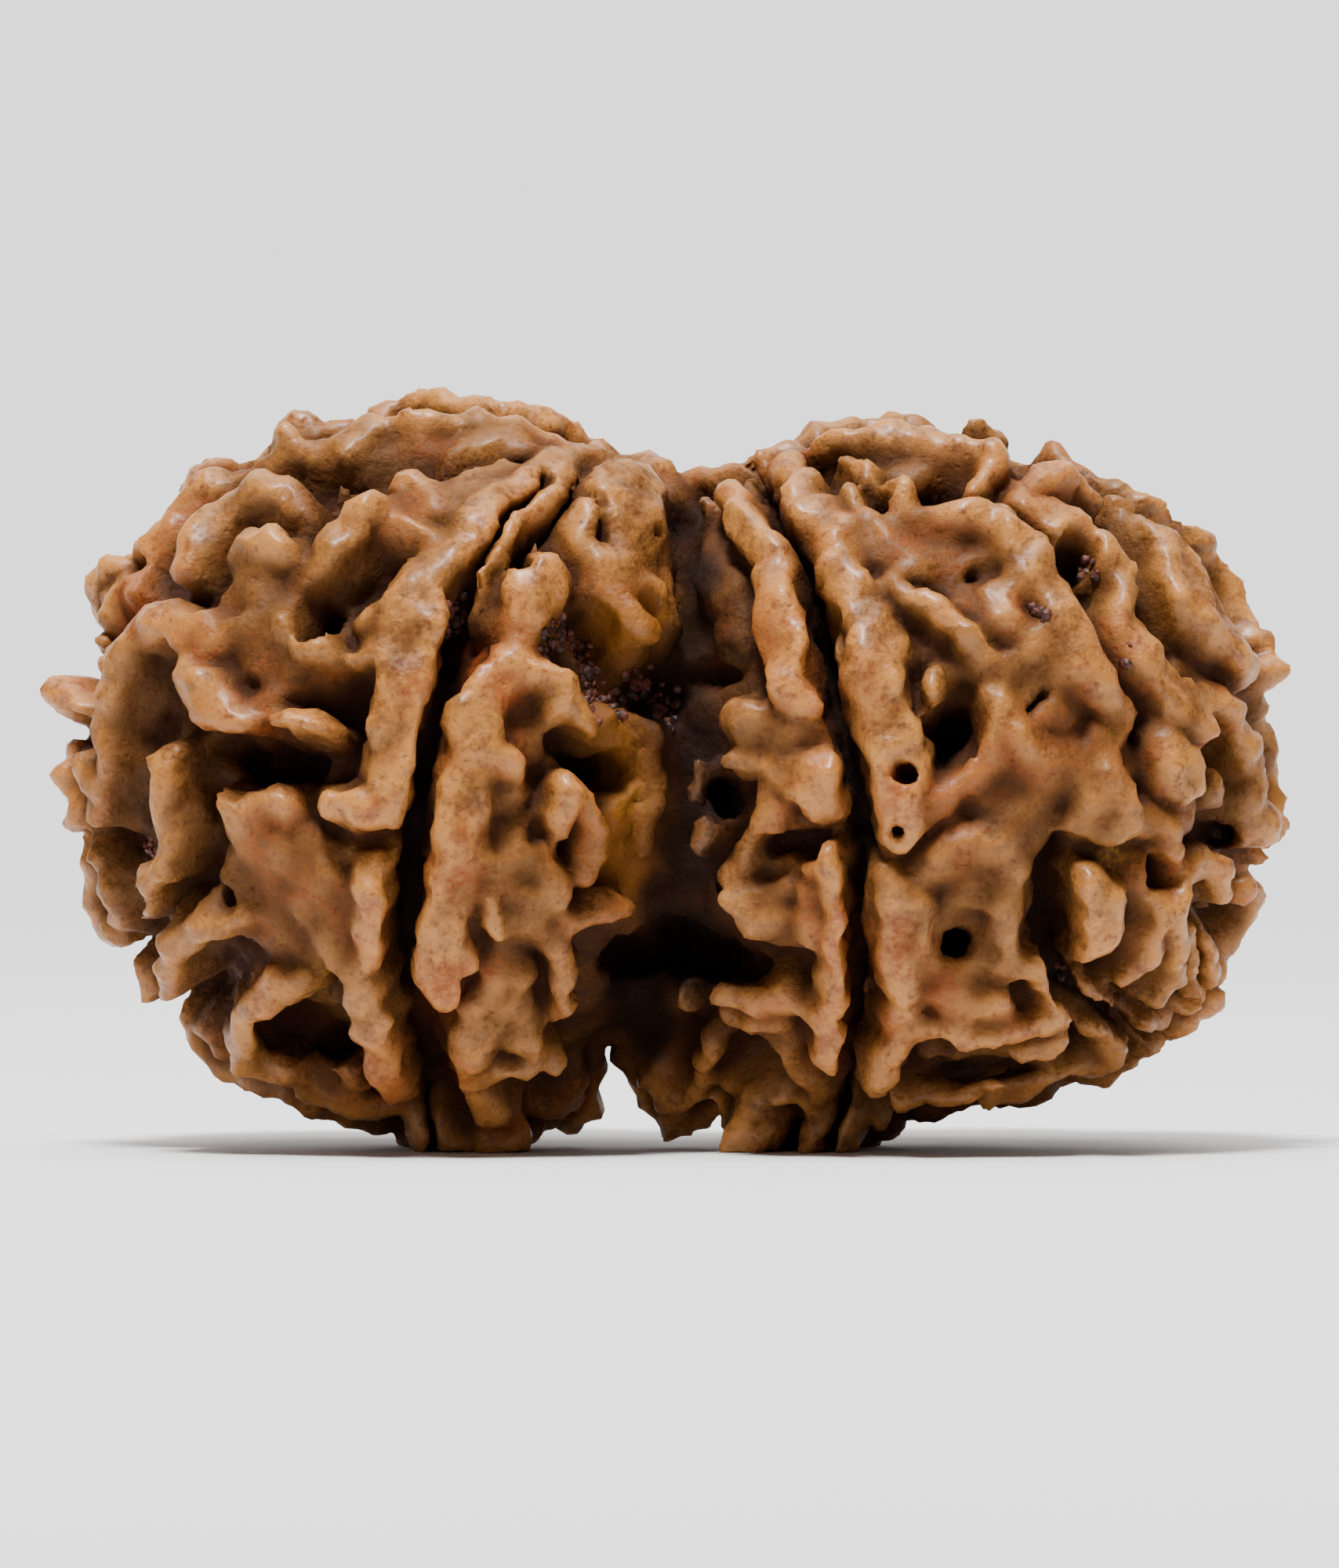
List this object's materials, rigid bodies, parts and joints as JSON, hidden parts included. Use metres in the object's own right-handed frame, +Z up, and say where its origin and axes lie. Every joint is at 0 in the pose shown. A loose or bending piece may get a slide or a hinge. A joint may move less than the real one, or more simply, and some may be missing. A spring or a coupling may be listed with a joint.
{
  "type": "gauri shankar rudraksha",
  "caption": "Two naturally fused rudraksha seed beads, side by side, each ball raised in blunt knobs and ridges and parted by deep clefts from top to bottom.",
  "frame": {"origin": "under the middle of the pair, on the surface it rests on (centre of the bounding box, at its bottom)", "axes": "+X from the left bead to the right bead, along the pair; -Y towards the front face seen in the picture; +Z up"},
  "size_m": [0.034, 0.0193, 0.0209],
  "materials": {
    "seed_shell": "natural woody fruit stone, lightly oiled: tan brown crests with a soft shine, dark brown clefts and hollows"
  },
  "bodies": {
    "root": {"fused_beads": "seed_shell"}
  },
  "joints": []
}
